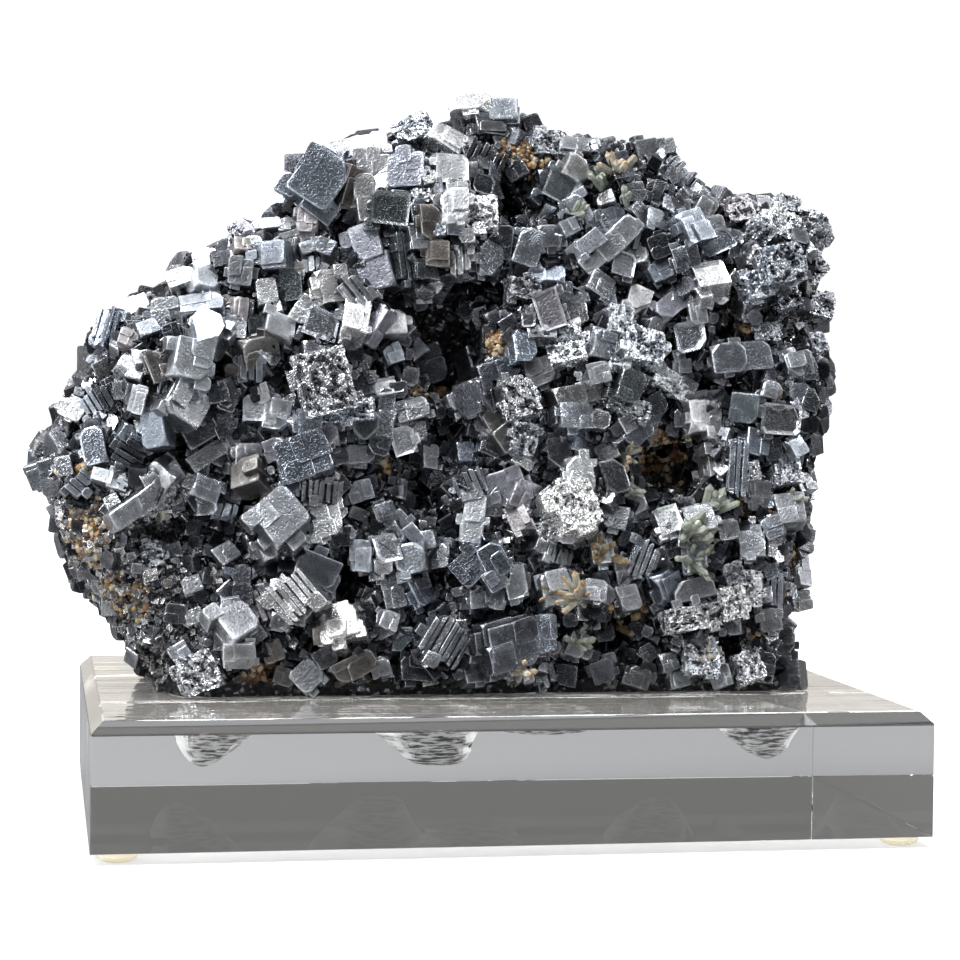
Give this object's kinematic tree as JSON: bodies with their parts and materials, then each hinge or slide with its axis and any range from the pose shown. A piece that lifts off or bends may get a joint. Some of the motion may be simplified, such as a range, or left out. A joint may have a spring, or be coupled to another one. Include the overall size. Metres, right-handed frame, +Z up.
{
  "type": "mineral specimen on display block",
  "caption": "Natural cluster of metallic lead-grey cubic galena crystals on dark matrix, standing in ground pockets of a clear chamfered acrylic display block with bumper feet.",
  "frame": {"origin": "centre of the whole object's plan box, on the standing surface under the bumper feet", "axes": "+X to the right of the display face, +Y to the back, +Z up"},
  "size_m": [0.1822, 0.124, 0.1561],
  "materials": {
    "galena": "lead-grey metallic cleavage faces on a dark matrix",
    "clear_acrylic": "polished clear acrylic, pockets ground white",
    "clear_bumper": "clear soft bumper, slightly yellowed"
  },
  "bodies": {
    "root": {"galena_specimen": "galena", "base_block": "clear_acrylic", "foot_front_left": "clear_bumper", "foot_front_right": "clear_bumper", "foot_back_left": "clear_bumper", "foot_back_right": "clear_bumper"}
  },
  "joints": []
}
